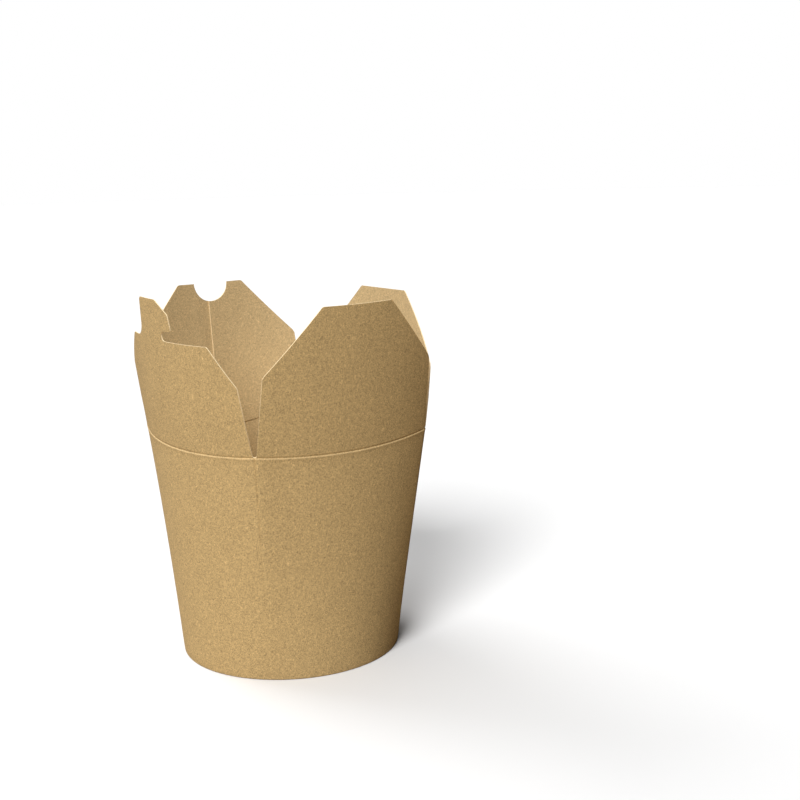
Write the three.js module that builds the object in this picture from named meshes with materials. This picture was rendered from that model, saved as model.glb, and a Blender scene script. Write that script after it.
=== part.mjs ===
// Round-based paper food box with a four-sided mouth and four hinged closing flaps.
// Millimetres, +Z up. The origin is on the table, under the middle of the box.
// The front, with the tongue flap, faces -Y. The flap with the slit faces +Y.
// The two shorter dust flaps face +X (plain) and -X (with a half-round notch, over the glued seam).

import * as THREE from 'three';
import { mergeVertices } from 'three/addons/utils/BufferGeometryUtils.js';

// Board and clearances
const BOARD = 0.5;              // thickness of the coated kraft board
const GAP = 0.3;                // clearance between neighbouring pieces

// Body
const LONG_SIDE = 103;          // width of the blank along the crease, front and back
const SHORT_SIDE = 88.7;        // width of the blank along the crease, left and right
const LONG_TURN = THREE.MathUtils.degToRad(52);   // how far a long side turns along its bowed crease
const SHORT_TURN = THREE.MathUtils.degToRad(45);
const BASE_RADIUS = 49.2;       // outside radius at the table
const BODY_HEIGHT = 101.5;      // height of the crease at the four corners
const CREASE_DIP = 2;           // how far the crease sags in the middle of a side
const SEAM_OVERLAP = 9;         // width of the glued overlap in the middle of the -X side
const STEPS_PER_SIDE = 12;
const WALL_LEVELS = 4;          // rows of faces up the wall, inside and outside

// Foot and pressed-in base
const BASE_RECESS = 6.5;        // underside of the disc above the table
const FLANGE_HEIGHT = 5.4;      // board turned in under the skirt of the disc
const FOOT_ROUND = 0.35;        // small bevel along the folded lower edge

// Flaps
const FLAP_LEAN = THREE.MathUtils.degToRad(12.5); // outward lean of the open flaps
const LONG_HINGE_DROP = 1;      // hinge line below the corner height
const SHORT_HINGE_DROP = 2.1;   // dust flaps fold first and lie under the long flaps
const TONGUE_DEPTH = 63.2;      // hinge to the top of the tab
const SHOULDER_DEPTH = 45.9;    // hinge to the shoulders of the tongue flap
const SHOULDER_IN = 17.7;       // from the corner to the near end of a shoulder
const SLIT_FLAP_DEPTH = 58.9;
const LONG_SIDE_EDGE = 29.4;    // height of the nearly straight side edges of a long flap
const LONG_TAPER = 3.4;         // how far these edges draw in
const DUST_DEPTH = 61.8;
const DUST_SIDE_EDGE = 34;
const DUST_TAPER = 2.7;
const DUST_TOP_START = 0.311;   // the top edge of a dust flap, as parts of its width
const DUST_TOP_END = 0.699;
const NOTCH_RADIUS = 8.8;
const SLIT_WIDTH = 0.8;
const LIP_CLEARANCE = 0.8;      // between the lip of a shut flap and the inside of the rim
const LIP_STEPS = 16;

// Colours of the board
const KRAFT = 0xb8935f;
const KRAFT_INSIDE = 0xa9854f;

// Plan of the mouth: four shallow arcs that meet at the corners.
// A side is found from its length along the crease and the angle that it turns.
function bowedSide(length, turn) {
  const radius = length / turn;
  const chord = 2 * radius * Math.sin(turn / 2);
  const bow = radius * (1 - Math.cos(turn / 2));
  return { length, turn, radius, chord, bow };
}

const LONG = bowedSide(LONG_SIDE, LONG_TURN);
const SHORT = bowedSide(SHORT_SIDE, SHORT_TURN);

// The sides in order round the box, each named by what its outward direction is.
const SIDES = [
  { shape: LONG, distance: SHORT.chord / 2, turned: 0 },
  { shape: SHORT, distance: LONG.chord / 2, turned: Math.PI / 2 },
  { shape: LONG, distance: SHORT.chord / 2, turned: Math.PI },
  { shape: SHORT, distance: LONG.chord / 2, turned: 3 * Math.PI / 2 },
];
const SEAM_SIDE = 3;

function turnPlan(x, y, angle) {
  const c = Math.cos(angle);
  const s = Math.sin(angle);
  return new THREE.Vector2(x * c - y * s, x * s + y * c);
}

// How far a bowed side stands outside its chord, at a distance along the chord from its middle.
function bowAt(shape, along) {
  return Math.sqrt(shape.radius ** 2 - along ** 2) - (shape.radius - shape.bow);
}

// One column of the wall: its place on the base circle, on the mouth, and its height.
function wallColumn(sideIndex, part, extra) {
  const { shape, distance, turned } = SIDES[sideIndex];
  const along = shape.radius * Math.sin((part - 0.5) * shape.turn);
  const mouth = turnPlan(along, -distance - bowAt(shape, along), turned);
  const span = Math.PI * shape.length / (LONG_SIDE + SHORT_SIDE);
  const foot = turnPlan(0, -BASE_RADIUS, turned + (part - 0.5) * span);
  const height = BODY_HEIGHT - CREASE_DIP * (1 - (2 * part - 1) ** 2);
  return { mouth, foot, height, extra };
}

function wallColumns() {
  const columns = [];
  const lap = SEAM_OVERLAP / SHORT_SIDE / 2;
  const step = 0.15 / SHORT_SIDE;
  for (let side = 0; side < SIDES.length; side += 1) {
    for (let i = 0; i < STEPS_PER_SIDE; i += 1) {
      const part = i / STEPS_PER_SIDE;
      const inLap = side === SEAM_SIDE && Math.abs(part - 0.5) < lap;
      columns.push(wallColumn(side, part, inLap ? BOARD : 0));
      const next = (i + 1) / STEPS_PER_SIDE;
      const edges = side === SEAM_SIDE ? [0.5 - lap, 0.5 + lap] : [];
      for (const edge of edges) {
        if (edge > part && edge < next) {
          const rises = edge < 0.5;
          columns.push(wallColumn(side, edge - step, rises ? 0 : BOARD));
          columns.push(wallColumn(side, edge + step, rises ? BOARD : 0));
        }
      }
    }
  }
  return columns;
}

// The section of the wall at one column, as [distance in from the outside, height].
// It runs up the outside, over the rim, down the inside, and round the folded foot.
// The board turned in at the foot stands upright, so its points keep to the base circle.
function wallSection(column) {
  const pocket = BOARD + GAP + BOARD + GAP;
  const outside = [];
  const inside = [];
  for (let i = 0; i <= WALL_LEVELS; i += 1) {
    const share = i / WALL_LEVELS;
    outside.push([-column.extra, 2 * BOARD + (column.height - 2 * BOARD) * share]);
    inside.unshift([BOARD, BOARD + (column.height - BOARD) * share]);
  }
  const leaning = [...outside, ...inside];
  const upright = [
    [pocket, BOARD],
    [pocket, FLANGE_HEIGHT],
    [pocket + BOARD, FLANGE_HEIGHT],
    [pocket + BOARD, FOOT_ROUND],
    [pocket + BOARD - FOOT_ROUND, 0],
    [FOOT_ROUND, 0],
    [0, FOOT_ROUND],
  ];
  const place = ([inset, z], share) => {
    const plan = column.foot.clone().lerp(column.mouth, share);
    plan.addScaledVector(plan.clone().normalize(), -inset);
    return new THREE.Vector3(plan.x, plan.y, z);
  };
  return [
    ...leaning.map((point) => place(point, point[1] / BODY_HEIGHT)),
    ...upright.map((point) => place(point, 0)),
  ];
}

// A closed ring of sections, joined column to column. From the rim on, the section runs down
// the inside, where each face is split the other way, so that both skins bend alike.
function ringGeometry(sections) {
  const positions = sections.flat().flatMap((point) => [point.x, point.y, point.z]);
  const columns = sections.length;
  const rows = sections[0].length;
  const index = [];
  for (let c = 0; c < columns; c += 1) {
    for (let r = 0; r < rows; r += 1) {
      const a = c * rows + r;
      const b = ((c + 1) % columns) * rows + r;
      const d = c * rows + (r + 1) % rows;
      const e = ((c + 1) % columns) * rows + (r + 1) % rows;
      if (r <= WALL_LEVELS) {
        index.push(a, b, e, a, e, d);
      } else {
        index.push(a, b, d, b, e, d);
      }
    }
  }
  const geometry = new THREE.BufferGeometry();
  geometry.setAttribute('position', new THREE.Float32BufferAttribute(positions, 3));
  geometry.setIndex(index);
  return geometry;
}

// The pressed-in base: a disc with a skirt that the foot of the wall is folded round.
function baseGeometry() {
  const outer = BASE_RADIUS - BOARD - GAP;
  const inner = outer - BOARD;
  const skirtFoot = BOARD + GAP;
  const profile = [
    [0, BASE_RECESS],
    [inner, BASE_RECESS],
    [inner, skirtFoot],
    [outer, skirtFoot],
    [outer, BASE_RECESS + BOARD - FOOT_ROUND],
    [outer - FOOT_ROUND, BASE_RECESS + BOARD],
    [0, BASE_RECESS + BOARD],
  ].map(([x, y]) => new THREE.Vector2(x, y));
  const geometry = new THREE.LatheGeometry(profile, 4 * STEPS_PER_SIDE);
  geometry.rotateX(Math.PI / 2);
  return geometry;
}

// The lower edge of a flap, from the right corner to the left one: a crescent lip that hangs
// inside the wall when the flap stands, and fills the bow of the rim when it is shut.
function lipPoints(shape, cornerRise) {
  const leastBow = LIP_CLEARANCE + 0.4;
  const depths = [];
  for (let i = 0; i <= LIP_STEPS; i += 1) {
    const along = shape.chord * (0.5 - i / LIP_STEPS);
    const bow = bowAt(shape, along);
    if (bow > leastBow) {
      depths.push(new THREE.Vector2(along, LIP_CLEARANCE - bow));
    }
  }
  const right = new THREE.Vector2(depths[0].x, cornerRise);
  const left = new THREE.Vector2(-depths[0].x, cornerRise);
  return [right, ...depths, left];
}

// The outline of a flap, from its upper outline, which runs from the left corner to the right one.
function flapShape(sideShape, cornerRise, drawUpper) {
  const half = sideShape.chord / 2 - BOARD - GAP;
  const shape = new THREE.Shape();
  shape.moveTo(-half, cornerRise);
  drawUpper(shape, half);
  shape.lineTo(half, cornerRise);
  for (const point of lipPoints(sideShape, cornerRise)) {
    shape.lineTo(point.x, point.y);
  }
  return shape;
}

// Tongue flap: square shoulders, and a tab with a hook on its right side.
// Its points are measured from the left corner of the blank.
function drawTongue(shape, half) {
  const tabLeft = 30.6;
  const tabTopLeft = 32.4;
  const tabTopRight = 48.2;
  const hookShoulder = { x: 58.7, y: 57.3 };
  const hookTip = { x: 60.3, y: 50.6 };
  const slotEnd = { x: 52.6, top: 50.1 };
  const fillet = 5.7;
  const from = (x) => x - LONG_SIDE / 2;
  shape.lineTo(-half + LONG_TAPER, LONG_SIDE_EDGE);
  shape.lineTo(from(SHOULDER_IN), SHOULDER_DEPTH);
  shape.lineTo(from(tabLeft - fillet), SHOULDER_DEPTH);
  shape.quadraticCurveTo(from(tabLeft - 0.6), SHOULDER_DEPTH + 0.6, from(tabLeft), SHOULDER_DEPTH + 6.2);
  shape.lineTo(from(tabTopLeft - 1.2), TONGUE_DEPTH - 2);
  shape.quadraticCurveTo(from(tabTopLeft - 0.6), TONGUE_DEPTH, from(tabTopLeft + 1.4), TONGUE_DEPTH);
  shape.lineTo(from(tabTopRight), TONGUE_DEPTH);
  shape.lineTo(from(hookShoulder.x), hookShoulder.y);
  shape.lineTo(from(hookTip.x), hookTip.y);
  shape.lineTo(from(slotEnd.x + 1.2), slotEnd.top);
  shape.quadraticCurveTo(
    from(slotEnd.x - 1.2),
    (slotEnd.top + SHOULDER_DEPTH) / 2,
    from(slotEnd.x + 1.2),
    SHOULDER_DEPTH,
  );
  shape.lineTo(from(LONG_SIDE - SHOULDER_IN), SHOULDER_DEPTH);
  shape.lineTo(half - LONG_TAPER, LONG_SIDE_EDGE);
}

// Slit flap: long chamfers, and a straight top edge.
function drawSlitOutline(shape, half) {
  const topHalf = 17;
  shape.lineTo(-half + LONG_TAPER, LONG_SIDE_EDGE - 2.5);
  shape.lineTo(-topHalf, SLIT_FLAP_DEPTH);
  shape.lineTo(topHalf, SLIT_FLAP_DEPTH);
  shape.lineTo(half - LONG_TAPER, LONG_SIDE_EDGE - 2.5);
}

// The slit that the tab is tucked into: straight, then curving down towards the hinge.
function slitHole() {
  const start = 45.2 - LONG_SIDE / 2;
  const bend = 68.7 - LONG_SIDE / 2;
  const end = 78.9 - LONG_SIDE / 2;
  const height = 39.2;
  const drop = 5.3;
  const hole = new THREE.Path();
  hole.moveTo(start, height);
  hole.lineTo(bend, height);
  hole.quadraticCurveTo(end - 2, height - 0.4, end, height - drop);
  hole.lineTo(end + SLIT_WIDTH, height - drop + 0.2);
  hole.quadraticCurveTo(end - 1, height + 0.6, bend, height + SLIT_WIDTH);
  hole.lineTo(start, height + SLIT_WIDTH);
  hole.closePath();
  return hole;
}

function drawDust(notched) {
  return (shape, half) => {
    const topLeft = SHORT.chord * (DUST_TOP_START - 0.5);
    const topRight = SHORT.chord * (DUST_TOP_END - 0.5);
    shape.lineTo(-half + DUST_TAPER, DUST_SIDE_EDGE);
    shape.lineTo(topLeft, DUST_DEPTH);
    if (notched) {
      shape.lineTo(-NOTCH_RADIUS, DUST_DEPTH);
      shape.absarc(0, DUST_DEPTH, NOTCH_RADIUS, Math.PI, 2 * Math.PI, false);
    }
    shape.lineTo(topRight, DUST_DEPTH);
    shape.lineTo(half - DUST_TAPER, DUST_SIDE_EDGE);
  };
}

function boardMaterial(color) {
  return new THREE.MeshStandardMaterial({ color, roughness: 0.85, metalness: 0 });
}

function solidMesh(name, geometry, color) {
  geometry.deleteAttribute('normal');
  geometry.deleteAttribute('uv');
  const mesh = new THREE.Mesh(mergeVertices(geometry), boardMaterial(color));
  mesh.name = name;
  return mesh;
}

// A flap plate, set on its hinge line at one side of the box and leant outwards.
function flapOnSide(name, sideIndex, outline, hingeDrop) {
  const geometry = new THREE.ExtrudeGeometry(outline, {
    depth: BOARD,
    bevelEnabled: false,
    curveSegments: 8,
  });
  const mesh = solidMesh(name, geometry, KRAFT);
  const hinge = new THREE.Group();
  hinge.position.set(0, -SIDES[sideIndex].distance + BOARD, BODY_HEIGHT - hingeDrop);
  hinge.rotation.x = Math.PI / 2 + FLAP_LEAN;
  hinge.add(mesh);
  const side = new THREE.Group();
  side.rotation.z = SIDES[sideIndex].turned;
  side.add(hinge);
  return side;
}

const box = new THREE.Group();
box.add(solidMesh('wall', ringGeometry(wallColumns().map(wallSection)), KRAFT));
box.add(solidMesh('base', baseGeometry(), KRAFT_INSIDE));

const longCornerRise = LONG_HINGE_DROP + GAP;
const shortCornerRise = SHORT_HINGE_DROP + GAP;
const tongueOutline = flapShape(LONG, longCornerRise, drawTongue);
const slitOutline = flapShape(LONG, longCornerRise, drawSlitOutline);
slitOutline.holes.push(slitHole());
const plainOutline = flapShape(SHORT, shortCornerRise, drawDust(false));
const notchedOutline = flapShape(SHORT, shortCornerRise, drawDust(true));

box.add(flapOnSide('flap_tongue', 0, tongueOutline, LONG_HINGE_DROP));
box.add(flapOnSide('flap_plain', 1, plainOutline, SHORT_HINGE_DROP));
box.add(flapOnSide('flap_slit', 2, slitOutline, LONG_HINGE_DROP));
box.add(flapOnSide('flap_notched', 3, notchedOutline, SHORT_HINGE_DROP));

export default box;
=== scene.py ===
"""Open noodle box of brown kraft board: the wall, the pressed-in base and four folding flaps."""
import math

import bmesh
import bpy
from mathutils import Matrix, Vector


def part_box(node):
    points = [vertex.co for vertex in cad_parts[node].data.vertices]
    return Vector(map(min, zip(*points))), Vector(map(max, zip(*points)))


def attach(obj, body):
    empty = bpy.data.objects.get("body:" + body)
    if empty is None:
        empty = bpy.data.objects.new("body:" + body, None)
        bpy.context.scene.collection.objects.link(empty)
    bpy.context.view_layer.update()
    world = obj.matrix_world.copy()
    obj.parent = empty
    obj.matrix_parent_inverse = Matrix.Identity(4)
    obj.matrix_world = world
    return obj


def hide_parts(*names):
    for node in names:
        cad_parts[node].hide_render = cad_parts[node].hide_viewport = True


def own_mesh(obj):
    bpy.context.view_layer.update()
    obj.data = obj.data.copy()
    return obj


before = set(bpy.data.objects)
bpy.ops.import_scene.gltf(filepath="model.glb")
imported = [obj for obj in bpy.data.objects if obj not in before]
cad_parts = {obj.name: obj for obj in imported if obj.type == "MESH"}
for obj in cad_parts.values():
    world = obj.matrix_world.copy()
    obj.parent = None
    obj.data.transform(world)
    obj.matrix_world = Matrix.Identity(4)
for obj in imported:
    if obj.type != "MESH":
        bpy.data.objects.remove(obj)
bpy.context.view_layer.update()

bl_info = {
    "name": "Noodle box of kraft board",
    "version": (1, 0, 0),
    "blender": (4, 5, 0),
    "location": "3D View > Sidebar > Noodle box",
    "description": "Makes the wall, the base, the four flaps and the stage of an open noodle box",
    "category": "Add Mesh",
}

MM = 0.001

# Sizes of the blank, as on the solids
LONG_SIDE = 103.0 * MM
SHORT_SIDE = 88.7 * MM
LONG_TURN = math.radians(52)
SHORT_TURN = math.radians(45)
BASE_RADIUS = 49.2 * MM
BODY_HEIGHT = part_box("wall")[1].z
CREASE_DIP = 2.0 * MM

# Corners of the blank: how far in from each corner the crease is rounded, the depth of the upright score
# under it, how far the score reaches to either side, and how it fades towards the foot
CORNER_ROUND = 2.6 * MM
CORNER_SCORE = 0.42 * MM
CORNER_SCORE_REACH = 1.2 * MM
CORNER_SCORE_FADE = 0.8

# Glued seam up the middle of the left side
SEAM_OUTER = 7.0 * MM
SEAM_INNER = 1.5 * MM
SEAM_RAMP = 6.0 * MM
LAYER_GAP = 0.02 * MM

# The pressed crease, in millimetres: below the rim of the wall, or above the foot of a flap,
# and how far out the board stands there. The top rows of the bead are painted paler, a painted highlight.
CREASE_BEAD = [(1.9, 0), (1.4, 0.03), (1.0, 0.08), (0.7, 0.125), (0.45, 0.14), (0.2, 0.05), (0, -0.2)]
CREASE_HOLLOW = [(0, -0.24), (0.12, -0.24), (0.3, -0.15), (0.55, -0.04), (0.9, 0)]
PAINTED_HIGHLIGHT_ROWS = 2
CREASE_HIGHLIGHT_MATERIAL = 3

# Foot of the wall, where the board is folded up round the skirt of the base
FOOT_ROUND = 0.65 * MM
FOOT_STEPS = 4
FLANGE_INSET = 2.1 * MM
FLANGE_MIDDLE = 3.0 * MM
FLANGE_TOP = 5.4 * MM

# Base disc with its skirt
BASE_INSET = 0.8 * MM
SKIRT_BOTTOM = 0.9 * MM
SKIRT_MIDDLE = 3.5 * MM
BASE_TOP = 7.0 * MM
BASE_ROUND = 0.9 * MM
BASE_STEPS = 144

# Columns and rows of the wall, with closer columns round each corner, in parts of a side
COLUMNS_PER_SIDE = 48
WALL_ROWS = 30
CORNER_CLEAR = 0.013
CORNER_COLUMNS = (-0.012, -0.006, -0.0025, 0, 0.0025, 0.006, 0.012)

# Flap outlines, in millimetres: across from the left corner, and up from the crease.
# The top edge of the dust flaps starts and ends at these parts of their width.
TONGUE_DEPTH = 63.2
SHOULDER = 45.9
SHOULDER_IN = 17.7
SIDE_EDGE = 29.4
TAPER = 3.4
SLIT_FLAP_DEPTH = 58.9
SLIT_FLAP_SIDE_EDGE = 26.6
SLIT_FLAP_TAPER = 3.2
SLIT_FLAP_TOP_HALF = 17.0
DUST_DEPTH = 61.8
DUST_SIDE_EDGE = 34.0
DUST_TAPER = 2.7
DUST_TOP_START = 0.311
DUST_TOP_END = 0.699
NOTCH_RADIUS = 8.8
V_ROUND = 0.9
V_STEPS = 6

# The tab of the tongue flap: the hollow curve at its near end, its near top corner, the cut corner,
# and the round slot under its hook
TAB_CURVE_X = 24.6
TAB_CURVE_RADIUS = 6.0
TAB_CORNER_X = 33.2
TAB_CORNER_RADIUS = 1.7
TAB_CUT_START = 48.6
TAB_CUT_END = (58.3, 57.7)
HOOK_TIP = (60.3, 51.2)
SLOT_END_X = 53.9
SLOT_RADIUS = 2.15

# The slit that takes the tab
SLIT_START = 45.2
SLIT_BEND = 68.7
SLIT_HEIGHT = 39.2
SLIT_RADIUS = 9.0
SLIT_GAP = 0.35

# The lip behind each flap: how far it stays inside the bow of the rim, how far it reaches above the
# crease, and the least depth that is drawn, in millimetres
LIP_CLEARANCE = 0.95
LIP_ABOVE = 1.2
LIP_LEAST = 0.3
LIP_STEPS = 24
LIP_THICKNESS = 0.15 * MM
LIP_SETBACK = 0.3 * MM

# Bending of the flaps: the width of the strips that bend, and how far the foot of a flap is
# lifted off the crease
STRIP = 2.0 * MM
FLAP_LIFT = 0.02 * MM

# Rounding of the cut edges
EDGE_ROUND = 0.09 * MM
LIP_EDGE_ROUND = 0.03 * MM
SHARP_ANGLE = math.radians(50)

# Pattern of the board: how fine each noise is, for each metre, and how far it moves the tone.
# Fibres show only in patches, where a second noise rises from the lower to the upper limit.
GRAIN = (2600, 0.58)
SPECK = (900, 0.14)
CLOUD = (70, 0.03)
PALE_FIBRES = (420, 0.42)
PALE_PATCHES = (420, 0.60, 0.68)
DARK_FIBRES = (380, 0.30)
DARK_PATCHES = (440, 0.62, 0.70)
FIBRE_WIDTH = 0.02
RELIEF = 0.12 * MM
BOARD_SHEEN = 0.35
COAT_ROUGHNESS = 0.28

# Lights that the panel leaves alone, by heading, height over the floor and softness, and the floor:
# its size, and the duller colour that it throws back at the box
KEY_SOFTNESS = math.radians(28)
LEFT_HEIGHT = math.radians(32)
LEFT_SOFTNESS = math.radians(40)
TOP_HEADING = math.radians(-60)
TOP_HEIGHT = math.radians(78)
TOP_SOFTNESS = math.radians(50)
FLOOR_RADIUS = 6
FLOOR_BOUNCE = (0.26, 0.20, 0.13, 1)
WHITE = (1, 1, 1, 1)


class Side:
    """One of the four sides: its bowed crease line, and the straight lines from the base circle up.

    Its length and turn are those of the crease. The chord of the bow stands at its distance from the
    box's axis, and the whole side is turned round the axis from the front.
    """

    def __init__(self, length, turn, distance, turned):
        self.length = length
        self.turn = turn
        self.radius = length / turn
        self.bow = self.radius * (1 - math.cos(turn / 2))
        self.distance = distance
        self.turned = turned
        self.span = math.pi * length / (LONG_SIDE + SHORT_SIDE)

    @property
    def outward(self):
        """Level direction away from the box's axis."""
        return Vector((math.sin(self.turned), -math.cos(self.turned), 0))

    def corner_normal(self, sign):
        """Middle direction, and half the turn, of the corner at the side's end."""
        next_turn = SHORT_TURN if self.turn == LONG_TURN else LONG_TURN
        own = self.turned + sign * self.turn / 2
        other = self.turned + sign * (math.pi / 2 - next_turn / 2)
        middle = (own + other) / 2
        return Vector((math.sin(middle), -math.cos(middle), 0)), abs(other - own) / 2

    def mouth(self, part):
        """Place on the bowed crease line, seen from above, at this part of the side's width."""
        angle = (part - 0.5) * self.turn
        along = self.radius * math.sin(angle)
        out = self.distance + self.radius * math.cos(angle) - (self.radius - self.bow)
        place = Matrix.Rotation(self.turned, 3, "Z") @ Vector((along, -out, 0))
        from_corner = (0.5 - abs(part - 0.5)) * self.length
        if 0 <= from_corner < CORNER_ROUND:
            normal, half_turn = self.corner_normal(1 if part > 0.5 else -1)
            depth = CORNER_ROUND * math.sin(half_turn) / 2
            place -= normal * depth * (1 - from_corner / CORNER_ROUND) ** 2
        return place

    def foot(self, part):
        """Place on the base circle that the line through this part of the side starts from."""
        angle = self.turned + (part - 0.5) * self.span
        return Vector((math.sin(angle), -math.cos(angle), 0)) * BASE_RADIUS

    def ruling(self, part):
        """How far the line from foot to mouth moves for each metre that it rises."""
        line = self.mouth(part) - self.foot(part)
        line.z = BODY_HEIGHT
        return line / BODY_HEIGHT

    def growth(self, rise):
        """How much wider than the crease the side would be, this far above it."""
        foot_width = BASE_RADIUS * self.span
        return 1 + (self.length - foot_width) / self.length * rise / BODY_HEIGHT

    def crease_height(self, part):
        """Height of the crease, which dips in the middle of the side."""
        clamped = min(max(part, 0), 1)
        return BODY_HEIGHT - CREASE_DIP * (1 - (2 * clamped - 1) ** 2)

    def point(self, part, z, outset=0.0):
        """Place on the side at this part of its width and this height, stood out by the outset."""
        place = self.foot(part) + self.ruling(part) * z
        level = Vector((place.x, place.y, 0)).normalized()
        return place + level * outset


def half_chord(length, turn):
    """Half of the straight distance between the two corners of a bowed side."""
    return length / turn * math.sin(turn / 2)


SIDES = {
    "front": Side(LONG_SIDE, LONG_TURN, half_chord(SHORT_SIDE, SHORT_TURN), 0),
    "right": Side(SHORT_SIDE, SHORT_TURN, half_chord(LONG_SIDE, LONG_TURN), math.pi / 2),
    "back": Side(LONG_SIDE, LONG_TURN, half_chord(SHORT_SIDE, SHORT_TURN), math.pi),
    "left": Side(SHORT_SIDE, SHORT_TURN, half_chord(LONG_SIDE, LONG_TURN), 1.5 * math.pi),
}
ORDER = ["front", "right", "back", "left"]


class NoodleBoxBoard(bpy.types.PropertyGroup):
    """Thickness and colours of the coated kraft board."""

    thickness: bpy.props.FloatProperty(
        name="Board thickness", description="Thickness of the coated board",
        default=0.45 * MM, min=0.0002, max=0.001, unit="LENGTH", precision=5)
    outside: bpy.props.FloatVectorProperty(
        name="Outside colour", description="Unprinted brown kraft face",
        default=(0.515, 0.359, 0.162), size=3, subtype="COLOR", min=0, max=1)
    inside: bpy.props.FloatVectorProperty(
        name="Inside colour", description="Film-coated inner face",
        default=(0.55, 0.40, 0.205), size=3, subtype="COLOR", min=0, max=1)
    # The crease colour is a painted highlight: paler board where the top of the bead catches the light.
    crease: bpy.props.FloatVectorProperty(
        name="Crease colour", description="The highlighted top of the pressed crease",
        default=(0.585, 0.415, 0.20), size=3, subtype="COLOR", min=0, max=1)
    edge: bpy.props.FloatVectorProperty(
        name="Cut edge colour", description="Pale fibres that show along every cut",
        default=(0.88, 0.70, 0.43), size=3, subtype="COLOR", min=0, max=1)


class NoodleBoxStage(bpy.types.PropertyGroup):
    """The floor, the lights and the camera."""

    azimuth: bpy.props.FloatProperty(
        name="Camera azimuth", description="Direction that the camera stands in, from the front",
        default=1.04013, subtype="ANGLE", unit="ROTATION")
    distance: bpy.props.FloatProperty(
        name="Camera distance", description="From the box's axis to the camera, on the level",
        default=0.58133, unit="LENGTH")
    height: bpy.props.FloatProperty(
        name="Camera height", description="Height of the camera above the floor",
        default=0.22208, unit="LENGTH")
    pitch: bpy.props.FloatProperty(
        name="Camera pitch", description="How far the camera looks down",
        default=0.18902, subtype="ANGLE", unit="ROTATION")
    aim: bpy.props.FloatProperty(
        name="Camera aim", description="How far the camera looks to the side of the box's axis",
        default=-0.09109, subtype="ANGLE", unit="ROTATION")
    roll: bpy.props.FloatProperty(
        name="Camera roll", description="Tilt of the picture",
        default=-0.02523, subtype="ANGLE", unit="ROTATION")
    lens: bpy.props.FloatProperty(
        name="Lens", description="Focal length on a sensor 36 mm wide", default=59.117, min=10, max=200)
    key_heading: bpy.props.FloatProperty(
        name="Key heading", description="Direction of the main light, round the box from the front",
        default=math.radians(38), subtype="ANGLE", unit="ROTATION")
    key_height: bpy.props.FloatProperty(
        name="Key height", description="Height of the main light above the floor",
        default=math.radians(38), subtype="ANGLE", unit="ROTATION")
    key_strength: bpy.props.FloatProperty(
        name="Key strength", description="Strength of the main light", default=3.7, min=0, max=20)
    left_heading: bpy.props.FloatProperty(
        name="Left light heading",
        description="Direction of the second light, round the box from the front",
        default=math.radians(-75), subtype="ANGLE", unit="ROTATION")
    left_strength: bpy.props.FloatProperty(
        name="Left light strength", description="Strength of the second light", default=1.5, min=0, max=20)
    top_strength: bpy.props.FloatProperty(
        name="Top light strength", description="Strength of the light from above",
        default=1.0, min=0, max=20)
    even_light: bpy.props.FloatProperty(
        name="Even light", description="Soft light from all round", default=0.04, min=0, max=2)
    backdrop: bpy.props.FloatProperty(
        name="Backdrop", description="Brightness of the plain white behind the floor",
        default=1.0, min=0, max=2)
    floor: bpy.props.FloatVectorProperty(
        name="Floor colour", description="Plain pale floor",
        default=(0.82, 0.82, 0.82), size=3, subtype="COLOR", min=0, max=1)


def settings():
    """Thickness and colours of the board, as set in the panel."""
    return bpy.context.scene.noodle_box


def stage_settings():
    """Camera, lights and floor, as set in the panel."""
    return bpy.context.scene.noodle_box_stage


# Materials

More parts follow.
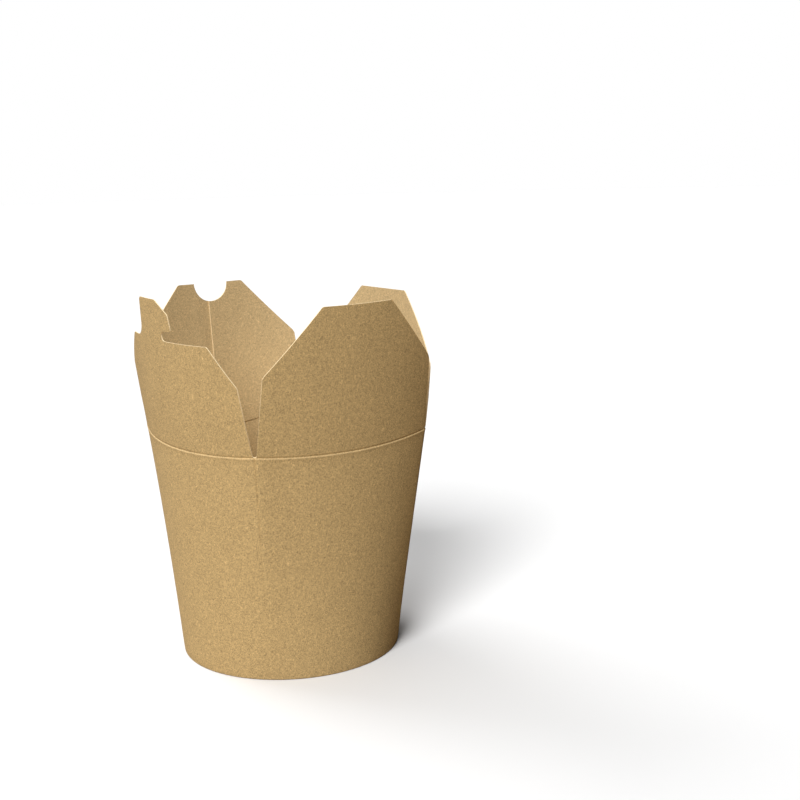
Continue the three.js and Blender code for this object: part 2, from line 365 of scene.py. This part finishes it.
def kraft_fibre_group():
    """Grain, short pale and dark fibres and slow clouding of unbleached board, from object coordinates."""
    name = "kraft_fibres"
    if name in bpy.data.node_groups:
        return bpy.data.node_groups[name]
    group = bpy.data.node_groups.new(name, "ShaderNodeTree")
    face = group.interface
    face.new_socket("Board Color", in_out="INPUT", socket_type="NodeSocketColor")
    face.new_socket("Contrast", in_out="INPUT", socket_type="NodeSocketFloat").default_value = 1.0
    face.new_socket("Color", in_out="OUTPUT", socket_type="NodeSocketColor")
    face.new_socket("Height", in_out="OUTPUT", socket_type="NodeSocketFloat")
    face.new_socket("Grain", in_out="OUTPUT", socket_type="NodeSocketFloat")
    take = group.nodes.new("NodeGroupInput")
    give = group.nodes.new("NodeGroupOutput")
    coords = group.nodes.new("ShaderNodeTexCoord")
    link = group.links.new

    def noise(scale, detail, stretch=(1, 1, 1), turn=0.0, rough=0.6, shift=0.0):
        """Noise in the object's own coordinates, stretched, turned and shifted."""
        place = group.nodes.new("ShaderNodeMapping")
        place.inputs["Scale"].default_value = stretch
        place.inputs["Rotation"].default_value = (turn, turn * 0.7, turn)
        place.inputs["Location"].default_value = (shift, shift * 0.5, shift * 0.3)
        link(coords.outputs["Object"], place.inputs["Vector"])
        texture = group.nodes.new("ShaderNodeTexNoise")
        texture.inputs["Scale"].default_value = scale
        texture.inputs["Detail"].default_value = detail
        texture.inputs["Roughness"].default_value = rough
        link(place.outputs[0], texture.inputs["Vector"])
        return texture.outputs["Fac"]

    def math_node(operation, a, b):
        """One step of arithmetic on two values, each a number or another node's output."""
        node = group.nodes.new("ShaderNodeMath")
        node.operation = operation
        for socket, value in zip(node.inputs, (a, b)):
            if isinstance(value, (int, float)):
                socket.default_value = value
            else:
                link(value, socket)
        return node.outputs[0]

    def remap(value, low, high, out_low, out_high):
        """The value, carried from the first pair of limits to the second."""
        node = group.nodes.new("ShaderNodeMapRange")
        limits = {"From Min": low, "From Max": high, "To Min": out_low, "To Max": out_high}
        for socket, number in limits.items():
            node.inputs[socket].default_value = number
        link(value, node.inputs["Value"])
        return node.outputs[0]

    def fibres(scale, stretch, turn, shift):
        """Thin lines, where a stretched noise crosses its middle."""
        centred = math_node("SUBTRACT", noise(scale, 1.5, stretch, turn, 0.5, shift), 0.5)
        return remap(math_node("ABSOLUTE", centred, 0), 0.0, FIBRE_WIDTH, 1, 0)

    grain = noise(GRAIN[0], 2, rough=0.7)
    speck = noise(SPECK[0], 2, shift=0.31)
    cloud = noise(CLOUD[0], 3, shift=0.7)
    pale_patch = remap(noise(PALE_PATCHES[0], 1, shift=1.3), *PALE_PATCHES[1:], 0, 1)
    pale = math_node("MULTIPLY", fibres(PALE_FIBRES[0], (1, 1, 0.45), 0.6, 0.11), pale_patch)
    dark_patch = remap(noise(DARK_PATCHES[0], 1, shift=2.9), *DARK_PATCHES[1:], 0, 1)
    dark = math_node("MULTIPLY", fibres(DARK_FIBRES[0], (1, 1, 0.6), -0.9, 0.57), dark_patch)
    tone = math_node(
        "ADD", remap(grain, 0.25, 0.75, -GRAIN[1], GRAIN[1]), remap(speck, 0.3, 0.7, -SPECK[1], SPECK[1]))
    tone = math_node("ADD", tone, remap(cloud, 0.3, 0.7, -CLOUD[1], CLOUD[1]))
    tone = math_node("ADD", tone, math_node("MULTIPLY", pale, PALE_FIBRES[1]))
    tone = math_node("SUBTRACT", tone, math_node("MULTIPLY", dark, DARK_FIBRES[1]))
    tone = math_node("MULTIPLY", tone, take.outputs["Contrast"])
    gain = math_node("ADD", tone, 1.0)
    scaled = group.nodes.new("ShaderNodeVectorMath")
    scaled.operation = "SCALE"
    link(take.outputs["Board Color"], scaled.inputs[0])
    link(gain, scaled.inputs["Scale"])
    link(scaled.outputs[0], give.inputs["Color"])
    height = math_node("ADD", math_node("MULTIPLY", grain, 0.6), math_node("MULTIPLY", speck, 0.4))
    height = math_node("ADD", height, math_node("MULTIPLY", pale, 0.25))
    link(height, give.inputs["Height"])
    link(grain, give.inputs["Grain"])
    return group


def board_material(name, color, contrast, roughness, bump, coat=0.0):
    """A face of the board: fibres in its colour and a bump from the same grain."""
    if name in bpy.data.materials:
        return bpy.data.materials[name]
    material = bpy.data.materials.new(name)
    material.use_nodes = True
    tree = material.node_tree
    shader = tree.nodes["Principled BSDF"]
    fibres = tree.nodes.new("ShaderNodeGroup")
    fibres.node_tree = kraft_fibre_group()
    fibres.inputs["Board Color"].default_value = (*color, 1)
    fibres.inputs["Contrast"].default_value = contrast
    relief = tree.nodes.new("ShaderNodeBump")
    relief.inputs["Strength"].default_value = bump
    relief.inputs["Distance"].default_value = RELIEF
    tree.links.new(fibres.outputs["Color"], shader.inputs["Base Color"])
    tree.links.new(fibres.outputs["Height"], relief.inputs["Height"])
    tree.links.new(relief.outputs["Normal"], shader.inputs["Normal"])
    shader.inputs["Roughness"].default_value = roughness
    shader.inputs["Specular IOR Level"].default_value = BOARD_SHEEN
    shader.inputs["Coat Weight"].default_value = coat
    shader.inputs["Coat Roughness"].default_value = COAT_ROUGHNESS
    return material


def kraft_materials():
    """Outside, coated inside and cut edge, twice: for the plain faces and for the crease top's painted
    highlight.

    Solidify puts the inside one place, and the rim two places, after the material of the outer face.
    """
    board = settings()
    outside = board_material(
        "kraft_outside", board.outside, contrast=1.0, roughness=0.82, bump=0.35)
    inside = board_material(
        "kraft_inside_coated", board.inside, contrast=0.8, roughness=0.46, bump=0.45, coat=0.35)
    edge = board_material(
        "kraft_cut_edge", board.edge, contrast=0.5, roughness=0.9, bump=0.25)
    # Paler than the outside: a painted highlight on the top of the crease bead.
    crease = board_material(
        "kraft_crease_painted_highlight", board.crease, contrast=0.8, roughness=0.8, bump=0.3)
    return [outside, inside, edge, crease, inside, edge]


# Mesh helpers

def finish_board(bm, name, bevel=EDGE_ROUND, thickness=None):
    """Turns a single sheet into a board with thickness, rounded cut edges and the board's materials."""
    mesh = bpy.data.meshes.new(name)
    bm.normal_update()
    bm.to_mesh(mesh)
    bm.free()
    for polygon in mesh.polygons:
        polygon.use_smooth = True
    piece = bpy.data.objects.new(name, mesh)
    bpy.context.scene.collection.objects.link(piece)
    for material in kraft_materials():
        mesh.materials.append(material)
    solid = piece.modifiers.new("board", "SOLIDIFY")
    solid.thickness = thickness or settings().thickness
    solid.offset = -1
    solid.material_offset = 1
    solid.material_offset_rim = 2
    rounding = piece.modifiers.new("cut_edges", "BEVEL")
    rounding.width = bevel
    rounding.segments = 2
    rounding.limit_method = "ANGLE"
    rounding.angle_limit = SHARP_ANGLE
    rounding.harden_normals = True
    return piece


def slice_sheet(bm, width):
    """Cuts a flat sheet into upright strips, so that it can bend between them."""
    count = round(width / STRIP)
    for i in range(1, count):
        bmesh.ops.bisect_plane(
            bm, geom=bm.verts[:] + bm.edges[:] + bm.faces[:], plane_co=(width * i / count, 0, 0),
            plane_no=(1, 0, 0), dist=1e-5)


# Wall

def seam_step(distance_in, overlap, thickness):
    """How far the outer layer stands off, from its raw edge, over the inner layer, and back down."""
    past = distance_in - overlap
    if past <= 0:
        return thickness
    share = min(past / SEAM_RAMP, 1)
    return thickness * (1 - share * share * (3 - 2 * share))


def wall_parts():
    """Columns round the wall, from the outer raw edge of the seam, once round, to the inner raw edge.

    Sides are counted from the front: 3.5 is the middle of the left side, and 7.5 the same once round.
    """
    first = 3.5 - SEAM_OUTER / SHORT_SIDE
    last = 7.5 + SEAM_INNER / SHORT_SIDE
    count = round((last - first) * COLUMNS_PER_SIDE)
    marks = {first + (last - first) * i / count for i in range(count + 1)}
    for corner in (4, 5, 6, 7):
        marks = {mark for mark in marks if abs(mark - corner) > CORNER_CLEAR}
        marks |= {corner + offset for offset in CORNER_COLUMNS}
    columns = []
    for mark in sorted(marks):
        side = SIDES[ORDER[int(mark) % 4]]
        step = 0.0
        if mark < 4:
            travelled = (mark - first) * SHORT_SIDE
            step = seam_step(travelled, SEAM_OUTER + SEAM_INNER, settings().thickness + LAYER_GAP)
        columns.append((side, mark - int(mark), step))
    return columns


def quarter_turn(steps):
    """Angles from just above nothing up to a right angle."""
    return [math.pi / 2 * i / steps for i in range(1, steps + 1)]


def corner_score(side, part):
    """Depth of the upright score that each corner of the blank is bent along."""
    from_corner = (0.5 - abs(part - 0.5)) * side.length
    return CORNER_SCORE * max(0.0, 1 - from_corner / CORNER_SCORE_REACH) ** 2


def foot_section():
    """From the top of the turned-in flange down and round the fold: in from the outside, and up."""
    inner = FLANGE_INSET - FOOT_ROUND
    points = [(FLANGE_INSET, FLANGE_TOP), (FLANGE_INSET, FLANGE_MIDDLE), (FLANGE_INSET, FOOT_ROUND)]
    for angle in quarter_turn(FOOT_STEPS):
        points.append((inner + FOOT_ROUND * math.cos(angle), FOOT_ROUND * (1 - math.sin(angle))))
    for angle in quarter_turn(FOOT_STEPS):
        points.append((FOOT_ROUND * (1 - math.sin(angle)), FOOT_ROUND * (1 - math.cos(angle))))
    return points


def wall_column(side, part, step):
    """Points up the sheet at one column: the flange, round the foot, and up the outside to the rim."""
    rim = side.crease_height(part)
    score = corner_score(side, part)
    bead_foot = rim - CREASE_BEAD[0][0] * MM
    places = [side.point(part, 0, step - inset) + Vector((0, 0, z)) for inset, z in foot_section()]
    for i in range(1, WALL_ROWS + 1):
        z = FOOT_ROUND + (bead_foot - FOOT_ROUND) * i / WALL_ROWS
        places.append(side.point(part, z, step - score * (z / rim) ** CORNER_SCORE_FADE))
    for below, out in CREASE_BEAD[1:]:
        places.append(side.point(part, rim - below * MM, step + out * MM - score))
    return places


def extrude_row(bm, row, edges, places):
    """Pulls the open edge of the sheet on to its next places: gives the new row, its edges and faces."""
    made = bmesh.ops.extrude_edge_only(bm, edges=edges)["geom"]
    new_verts = {part for part in made if isinstance(part, bmesh.types.BMVert)}
    made_edges = [part for part in made if isinstance(part, bmesh.types.BMEdge)]
    new_edges = [edge for edge in made_edges if set(edge.verts) <= new_verts]
    new_faces = [part for part in made if isinstance(part, bmesh.types.BMFace)]
    new_row = []
    for old, place in zip(row, places):
        new = next(edge.other_vert(old) for edge in old.link_edges if edge.other_vert(old) in new_verts)
        new.co = place
        new_row.append(new)
    return new_row, new_edges, new_faces


def make_wall():
    """The wall: a row of edges round the top of the flange, pulled round the foot and up to the rim."""
    bm = bmesh.new()
    columns = [wall_column(*column) for column in wall_parts()]
    levels = list(zip(*columns))
    row = [bm.verts.new(place) for place in levels[0]]
    edges = [bm.edges.new(pair) for pair in zip(row, row[1:])]
    rim_level = len(levels) - 1
    for level in range(1, rim_level + 1):
        row, edges, faces = extrude_row(bm, row, edges, levels[level])
        # The top rows of the bead take the paler crease material: a painted highlight.
        if rim_level - PAINTED_HIGHLIGHT_ROWS <= level < rim_level:
            for face in faces:
                face.material_index = CREASE_HIGHLIGHT_MATERIAL
    bmesh.ops.recalc_face_normals(bm, faces=bm.faces)
    outermost = max(bm.faces, key=lambda face: face.calc_center_median().xy.length)
    if outermost.normal.xy.dot(outermost.calc_center_median().xy) < 0:
        bmesh.ops.reverse_faces(bm, faces=bm.faces)
    wall = finish_board(bm, "wall_board")
    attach(wall, "box")
    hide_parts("wall")
    return wall


# Base

def make_base():
    """The base: a half section, up the skirt and over the disc, spun into a shallow cap."""
    outer = BASE_RADIUS - BASE_INSET
    round_centre = (outer - BASE_ROUND, BASE_TOP - BASE_ROUND)
    section = [(outer, SKIRT_BOTTOM), (outer, SKIRT_MIDDLE), (outer, round_centre[1])]
    for angle in quarter_turn(FOOT_STEPS):
        section.append((
            round_centre[0] + BASE_ROUND * math.cos(angle), round_centre[1] + BASE_ROUND * math.sin(angle)))
    section += [(outer - 3 * MM, BASE_TOP - 0.25 * MM), (outer * 0.5, BASE_TOP - 0.1 * MM), (0.0, BASE_TOP)]
    bm = bmesh.new()
    verts = [bm.verts.new((x, 0, z)) for x, z in section]
    edges = [bm.edges.new(pair) for pair in zip(verts, verts[1:])]
    bmesh.ops.spin(bm, geom=verts + edges, cent=(0, 0, 0), axis=(0, 0, 1), angle=2 * math.pi,
                   steps=BASE_STEPS, use_merge=True)
    bmesh.ops.remove_doubles(bm, verts=bm.verts, dist=1e-6)
    bmesh.ops.recalc_face_normals(bm, faces=bm.faces)
    highest = max(bm.faces, key=lambda face: face.calc_center_median().z)
    if highest.normal.z < 0:
        bmesh.ops.reverse_faces(bm, faces=bm.faces)
    base = finish_board(bm, "base_disc")
    outside, inside = kraft_materials()[:2]
    base.data.materials[0] = inside
    base.data.materials[1] = outside
    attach(base, "box")
    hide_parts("base")
    return base


# Flaps

def arc(centre, radius, start, stop, steps):
    """Points along a round stretch of an outline, angles in degrees."""
    return [
        (centre[0] + radius * math.cos(math.radians(start + (stop - start) * i / steps)),
         centre[1] + radius * math.sin(math.radians(start + (stop - start) * i / steps)))
        for i in range(steps + 1)]


def v_bottom(width, right):
    """The rounded bottom of the notch between two flaps, up one side of a flap."""
    points = []
    for angle in (0, *quarter_turn(V_STEPS)):
        points.append((V_ROUND * math.sin(angle), V_ROUND * (1 - math.cos(angle))))
    if right:
        return [(width - x, y) for x, y in reversed(points)]
    return points


def tongue_outline():
    """The tongue flap: tapered side edges, two shoulders, and the hooked tab between them."""
    width = LONG_SIDE / MM
    left = [(TAPER, SIDE_EDGE), (SHOULDER_IN - 0.6, SHOULDER - 0.7), (SHOULDER_IN + 0.4, SHOULDER)]
    tab = arc((TAB_CURVE_X, SHOULDER + TAB_CURVE_RADIUS), TAB_CURVE_RADIUS, -90, -6, 8)
    tab += arc((TAB_CORNER_X, TONGUE_DEPTH - TAB_CORNER_RADIUS), TAB_CORNER_RADIUS, 172, 92, 4)
    tab += [(TAB_CUT_START - 1, TONGUE_DEPTH), (TAB_CUT_START, TONGUE_DEPTH - 0.3)]
    tab += [TAB_CUT_END, (TAB_CUT_END[0] + 0.5, TAB_CUT_END[1] - 0.8)]
    hook = [HOOK_TIP, (HOOK_TIP[0] - 0.2, HOOK_TIP[1] - 0.6), (HOOK_TIP[0] - 0.7, HOOK_TIP[1] - 0.8)]
    hook += arc((SLOT_END_X, SHOULDER + SLOT_RADIUS), SLOT_RADIUS, 84, 264, 10)
    right = [(width - x, y) for x, y in reversed(left)]
    return v_bottom(width, False) + left + tab + hook + right + v_bottom(width, True)


def slit_flap_outline():
    """The flap with the slit: tapered side edges, and cut corners up to a straight top edge."""
    width = LONG_SIDE / MM
    half = width / 2
    top = SLIT_FLAP_DEPTH
    left = [
        (SLIT_FLAP_TAPER, SLIT_FLAP_SIDE_EDGE), (SLIT_FLAP_TAPER + 0.7, SLIT_FLAP_SIDE_EDGE + 1.8),
        (half - SLIT_FLAP_TOP_HALF - 1, top - 0.6), (half - SLIT_FLAP_TOP_HALF, top)]
    right = [(width - x, y) for x, y in reversed(left)]
    return v_bottom(width, False) + left + right + v_bottom(width, True)


def slit_cut():
    """The slit that takes the tab: a fine cut, straight and then curving towards the crease."""
    centre = (SLIT_BEND, SLIT_HEIGHT - SLIT_RADIUS)
    upper_height = SLIT_HEIGHT + SLIT_GAP
    lower = [(SLIT_START, SLIT_HEIGHT), (SLIT_BEND, SLIT_HEIGHT)] + arc(centre, SLIT_RADIUS, 86, 18, 8)
    upper = arc(centre, SLIT_RADIUS + SLIT_GAP, 18, 86, 8)
    upper += [(SLIT_BEND, upper_height), (SLIT_START, upper_height)]
    return lower + upper


def dust_outline(notched):
    """A dust flap: tapered side edges, cut corners, and a top edge with or without the round notch."""
    width = SHORT_SIDE / MM
    top_left = DUST_TOP_START * width
    top_right = DUST_TOP_END * width
    middle = width / 2
    top = [(top_left, DUST_DEPTH - 0.3), (top_left + 0.9, DUST_DEPTH)]
    if notched:
        top += arc((middle, DUST_DEPTH), NOTCH_RADIUS, 180, 360, 20)
    top += [(top_right - 0.9, DUST_DEPTH), (top_right, DUST_DEPTH - 0.3)]
    return (
        v_bottom(width, False)
        + [(DUST_TAPER, DUST_SIDE_EDGE - 1), (DUST_TAPER + 0.7, DUST_SIDE_EDGE + 0.5)] + top
        + [(width - DUST_TAPER - 0.7, DUST_SIDE_EDGE + 0.5), (width - DUST_TAPER, DUST_SIDE_EDGE - 1)]
        + v_bottom(width, True))


def flat_sheet(outline, hole=()):
    """A flat sheet in the outline's own plane, in metres, with its hole cut through."""
    bm = bmesh.new()
    edges = []
    for loop in (outline, hole):
        verts = [bm.verts.new((x * MM, y * MM, 0)) for x, y in loop]
        edges += [bm.edges.new((verts[i], verts[(i + 1) % len(verts)])) for i in range(len(verts))]
    bmesh.ops.triangle_fill(bm, edges=edges, use_beauty=True, use_dissolve=False)
    bmesh.ops.dissolve_limit(bm, angle_limit=0.01, verts=bm.verts, edges=bm.edges)
    return bm


def crease_hollow(rise):
    """How far the foot of a flap is pressed in, this far above the crease."""
    for (low, out_low), (high, out_high) in zip(CREASE_HOLLOW, CREASE_HOLLOW[1:]):
        if low * MM <= rise <= high * MM:
            share = (rise / MM - low) / (high - low)
            return (out_low + (out_high - out_low) * share) * MM
    return 0.0


def wrap_on_side(bm, side, outset, lift=0.0):
    """Carries a flat sheet, drawn across and up from the crease, onto the leaning, bowed side."""
    for vert in bm.verts:
        rise = vert.co.y + lift
        part = 0.5 + (vert.co.x / side.length - 0.5) / side.growth(rise)
        ruling = side.ruling(part)
        z = side.crease_height(part) + rise / ruling.length
        vert.co = side.point(part, z, outset(vert.co.x, vert.co.y))
    bmesh.ops.recalc_face_normals(bm, faces=bm.faces)
    face = bm.faces[:][0]
    if face.normal.dot(side.outward) < 0:
        bmesh.ops.reverse_faces(bm, faces=bm.faces)


def lip_outline(side):
    """A crescent below the crease, inside the wall, that fills the bow of the rim when the flap is shut."""
    width = side.length / MM
    lower = []
    for i in range(LIP_STEPS + 1):
        part = 1 - i / LIP_STEPS
        along = side.radius * math.sin((part - 0.5) * side.turn)
        bow = math.sqrt(side.radius ** 2 - along ** 2) - (side.radius - side.bow)
        depth = bow / MM - LIP_CLEARANCE
        if depth > LIP_LEAST:
            lower.append((part * width, -depth))
    return [(x, LIP_ABOVE) for x, y in reversed(lower)] + lower


def fold_with(piece, body):
    """The piece is parented to its flap's body, so that it turns with it, and gets a mesh of its own."""
    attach(piece, body)
    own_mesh(piece)


def cut_sheet(bm, place, normal, clear=False):
    """Cuts a flat sheet along one line, and clears what lies on the far side of it."""
    bmesh.ops.bisect_plane(
        bm, geom=bm.verts[:] + bm.edges[:] + bm.faces[:], plane_co=place, plane_no=normal, dist=1e-6,
        clear_outer=clear)


def make_flap(name, side_name, body, outline, hole=(), node=None, layer=None):
    """A flap: its outline cut from flat board, scored at the crease and bent round its side."""
    side = SIDES[side_name]
    board = settings().thickness
    bm = flat_sheet(outline, hole)
    middle = side.length / 2
    if layer == "inner":
        cut_sheet(bm, (middle + SEAM_INNER, 0, 0), (1, 0, 0), clear=True)
    if layer == "outer":
        cut_sheet(bm, (middle - SEAM_OUTER, 0, 0), (-1, 0, 0), clear=True)
    for rise, out in CREASE_HOLLOW[1:]:
        cut_sheet(bm, (0, rise * MM, 0), (0, 1, 0))
    slice_sheet(bm, side.length)

    def outset(x, y):
        step = 0.0
        if layer == "outer":
            step = seam_step(x - middle + SEAM_OUTER, SEAM_OUTER + SEAM_INNER, board + LAYER_GAP)
        return step + crease_hollow(y)

    wrap_on_side(bm, side, outset, lift=FLAP_LIFT)
    piece = finish_board(bm, name)
    fold_with(piece, body)
    if node:
        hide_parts(node)
    return piece


def make_lip(name, side_name, body):
    """The crescent behind a flap, bent round the same side."""
    side = SIDES[side_name]
    bm = flat_sheet(lip_outline(side))
    slice_sheet(bm, side.length)
    behind = -settings().thickness - LIP_SETBACK
    wrap_on_side(bm, side, lambda x, y: behind)
    piece = finish_board(bm, name, bevel=LIP_EDGE_ROUND, thickness=LIP_THICKNESS)
    fold_with(piece, body)
    return piece


# Stage

def look_matrix():
    """Where the camera stands and how it is turned."""
    view = stage_settings()
    heading = view.azimuth + view.aim
    level = math.cos(view.pitch)
    forward = Vector((-math.sin(heading) * level, math.cos(heading) * level, -math.sin(view.pitch)))
    right = Vector((math.cos(heading), math.sin(heading), 0))
    up = right.cross(forward)
    turned_right = right * math.cos(view.roll) + up * math.sin(view.roll)
    turned_up = up * math.cos(view.roll) - right * math.sin(view.roll)
    place = Vector((
        view.distance * math.sin(view.azimuth), -view.distance * math.cos(view.azimuth), view.height))
    matrix = Matrix((turned_right, turned_up, -forward)).transposed().to_4x4()
    matrix.translation = place
    return matrix


def make_camera():
    """The camera, with the photograph's lens and place."""
    data = bpy.data.cameras.new("camera")
    data.sensor_width = 36
    data.lens = stage_settings().lens
    data.dof.use_dof = False
    data.clip_start = 0.01
    camera = bpy.data.objects.new("camera", data)
    bpy.context.scene.collection.objects.link(camera)
    camera.matrix_world = look_matrix()
    bpy.context.scene.camera = camera
    return camera


def make_floor():
    """A wide, plain, pale floor that throws little light back up, so the box keeps its shaded side."""
    bm = bmesh.new()
    bmesh.ops.create_circle(bm, cap_ends=True, segments=96, radius=FLOOR_RADIUS)
    mesh = bpy.data.meshes.new("floor")
    bm.to_mesh(mesh)
    bm.free()
    floor = bpy.data.objects.new("floor", mesh)
    bpy.context.scene.collection.objects.link(floor)
    material = bpy.data.materials.new("pale_floor")
    material.use_nodes = True
    tree = material.node_tree
    shader = tree.nodes["Principled BSDF"]
    shader.inputs["Base Color"].default_value = (*stage_settings().floor, 1)
    shader.inputs["Roughness"].default_value = 0.9
    shader.inputs["Specular IOR Level"].default_value = 0.1
    bounce = tree.nodes.new("ShaderNodeBsdfDiffuse")
    bounce.inputs["Color"].default_value = FLOOR_BOUNCE
    path = tree.nodes.new("ShaderNodeLightPath")
    choose = tree.nodes.new("ShaderNodeMixShader")
    tree.links.new(path.outputs["Is Camera Ray"], choose.inputs[0])
    tree.links.new(bounce.outputs[0], choose.inputs[1])
    tree.links.new(shader.outputs[0], choose.inputs[2])
    tree.links.new(choose.outputs[0], tree.nodes["Material Output"].inputs["Surface"])
    mesh.materials.append(material)
    return floor


def make_world():
    """Plain white behind the floor, and a little even light from everywhere."""
    world = bpy.data.worlds.new("studio")
    bpy.context.scene.world = world
    world.use_nodes = True
    tree = world.node_tree
    output = tree.nodes["World Output"]
    even = tree.nodes["Background"]
    even.inputs["Color"].default_value = WHITE
    even.inputs["Strength"].default_value = stage_settings().even_light
    backdrop = tree.nodes.new("ShaderNodeBackground")
    backdrop.inputs["Color"].default_value = WHITE
    backdrop.inputs["Strength"].default_value = stage_settings().backdrop
    path = tree.nodes.new("ShaderNodeLightPath")
    choose = tree.nodes.new("ShaderNodeMixShader")
    tree.links.new(path.outputs["Is Camera Ray"], choose.inputs[0])
    tree.links.new(even.outputs[0], choose.inputs[1])
    tree.links.new(backdrop.outputs[0], choose.inputs[2])
    tree.links.new(choose.outputs[0], output.inputs["Surface"])


def sun_light(name, heading, height, softness, strength):
    """A broad, far light: heading round the box from the front, height above the floor."""
    data = bpy.data.lights.new(name, "SUN")
    data.angle = softness
    data.energy = strength
    light = bpy.data.objects.new(name, data)
    bpy.context.scene.collection.objects.link(light)
    towards = Vector((
        math.sin(heading) * math.cos(height), -math.cos(heading) * math.cos(height), math.sin(height)))
    light.location = towards
    light.rotation_mode = "QUATERNION"
    light.rotation_quaternion = (-towards).to_track_quat("-Z", "Y")
    return light


class NOODLEBOX_OT_wall(bpy.types.Operator):
    """Make the wall: one sheet round the box, lapped at the side seam and turned in at the foot"""

    bl_idname = "noodle_box.wall"
    bl_label = "Wall"

    def execute(self, context):
        make_wall()
        return {"FINISHED"}


class NOODLEBOX_OT_base(bpy.types.Operator):
    """Make the base disc that is pressed into the foot"""

    bl_idname = "noodle_box.base"
    bl_label = "Base disc"

    def execute(self, context):
        make_base()
        return {"FINISHED"}


class NOODLEBOX_OT_long_flaps(bpy.types.Operator):
    """Make the tongue flap and the flap with the slit"""

    bl_idname = "noodle_box.long_flaps"
    bl_label = "Long flaps"

    def execute(self, context):
        make_flap("tongue_flap_board", "front", "tongue_flap", tongue_outline(),
                  node="flap_tongue")
        make_lip("tongue_flap_lip", "front", "tongue_flap")
        make_flap("slit_flap_board", "back", "slit_flap", slit_flap_outline(), slit_cut(),
                  node="flap_slit")
        make_lip("slit_flap_lip", "back", "slit_flap")
        return {"FINISHED"}


class NOODLEBOX_OT_dust_flaps(bpy.types.Operator):
    """Make the plain dust flap and the notched one over the seam"""

    bl_idname = "noodle_box.dust_flaps"
    bl_label = "Dust flaps"

    def execute(self, context):
        make_flap("plain_flap_board", "right", "plain_flap", dust_outline(False),
                  node="flap_plain")
        make_lip("plain_flap_lip", "right", "plain_flap")
        make_flap("notched_flap_inner_layer", "left", "notched_flap", dust_outline(True),
                  node="flap_notched", layer="inner")
        make_flap("notched_flap_outer_layer", "left", "notched_flap", dust_outline(True),
                  layer="outer")
        make_lip("notched_flap_lip", "left", "notched_flap")
        return {"FINISHED"}


class NOODLEBOX_OT_stage(bpy.types.Operator):
    """Make the pale floor, the soft lights and the camera"""

    bl_idname = "noodle_box.stage"
    bl_label = "Stage"

    def execute(self, context):
        make_camera()
        make_floor()
        make_world()
        view = stage_settings()
        sun_light("key", view.key_heading, view.key_height, KEY_SOFTNESS, view.key_strength)
        sun_light("left", view.left_heading, LEFT_HEIGHT, LEFT_SOFTNESS, view.left_strength)
        sun_light("top", TOP_HEADING, TOP_HEIGHT, TOP_SOFTNESS, view.top_strength)
        bpy.context.scene.view_settings.view_transform = "Standard"
        return {"FINISHED"}


OPERATORS = [
    NOODLEBOX_OT_stage,
    NOODLEBOX_OT_wall,
    NOODLEBOX_OT_base,
    NOODLEBOX_OT_long_flaps,
    NOODLEBOX_OT_dust_flaps,
]


class NOODLEBOX_PT_panel(bpy.types.Panel):
    """Sizes, colours and the make buttons"""

    bl_idname = "NOODLEBOX_PT_panel"
    bl_label = "Noodle box"
    bl_space_type = "VIEW_3D"
    bl_region_type = "UI"
    bl_category = "Noodle box"

    def draw(self, context):
        for group in (context.scene.noodle_box, context.scene.noodle_box_stage):
            for name in group.__annotations__:
                self.layout.prop(group, name)
        for operator in OPERATORS:
            self.layout.operator(operator.bl_idname)


CLASSES = [NoodleBoxBoard, NoodleBoxStage, *OPERATORS, NOODLEBOX_PT_panel]


def register():
    """Adds the panel, its settings and its operators."""
    for cls in CLASSES:
        bpy.utils.register_class(cls)
    bpy.types.Scene.noodle_box = bpy.props.PointerProperty(type=NoodleBoxBoard)
    bpy.types.Scene.noodle_box_stage = bpy.props.PointerProperty(type=NoodleBoxStage)


def unregister():
    """Takes the panel, its settings and its operators away again."""
    del bpy.types.Scene.noodle_box_stage
    del bpy.types.Scene.noodle_box
    for cls in reversed(CLASSES):
        bpy.utils.unregister_class(cls)


def main():
    """Makes every piece and the stage."""
    register()
    for operator in OPERATORS:
        group, name = operator.bl_idname.split(".")
        getattr(getattr(bpy.ops, group), name)()


if __name__ == "__main__":
    main()
